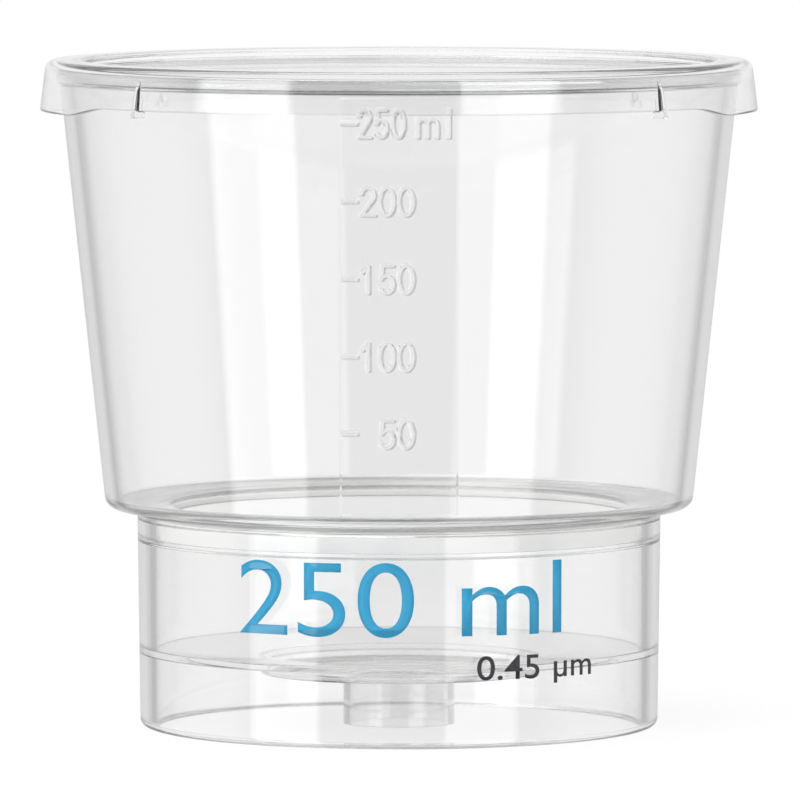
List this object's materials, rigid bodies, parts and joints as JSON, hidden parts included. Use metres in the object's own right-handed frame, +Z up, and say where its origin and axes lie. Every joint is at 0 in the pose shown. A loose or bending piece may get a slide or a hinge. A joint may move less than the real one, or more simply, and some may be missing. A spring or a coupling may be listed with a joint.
{
  "type": "vacuum filtration unit",
  "caption": "Clear tapered filter funnel with a lift-off lid, welded over a round membrane onto a skirted base that drains through a central outlet.",
  "frame": {"origin": "centre of the foot ring, on the surface that the unit stands on", "axes": "+Z up the axis of the funnel, +X through the lid's grip tabs, -Y towards the graduated side"},
  "size_m": [0.0942, 0.094, 0.0877],
  "materials": {
    "clear_base": "clear polished polystyrene",
    "white_grid": "satin white moulded polypropylene",
    "fleece": "spun-bonded white fleece",
    "membrane_film": "matt white porous film",
    "silicone": "translucent silicone",
    "clear_funnel": "clear polished polystyrene",
    "clear_lid": "clear polished polystyrene"
  },
  "bodies": {
    "unit": {"base": "clear_base", "support_grid": "white_grid", "support_pad": "fleece", "membrane": "membrane_film", "seal_ring": "silicone", "funnel": "clear_funnel"},
    "lid": {"lid": "clear_lid"}
  },
  "joints": [
    {"name": "lid_lift", "type": "slide", "parent": "unit", "child": "lid", "axis": [0, 0, 1], "range_m": [0, 0.03]}
  ]
}
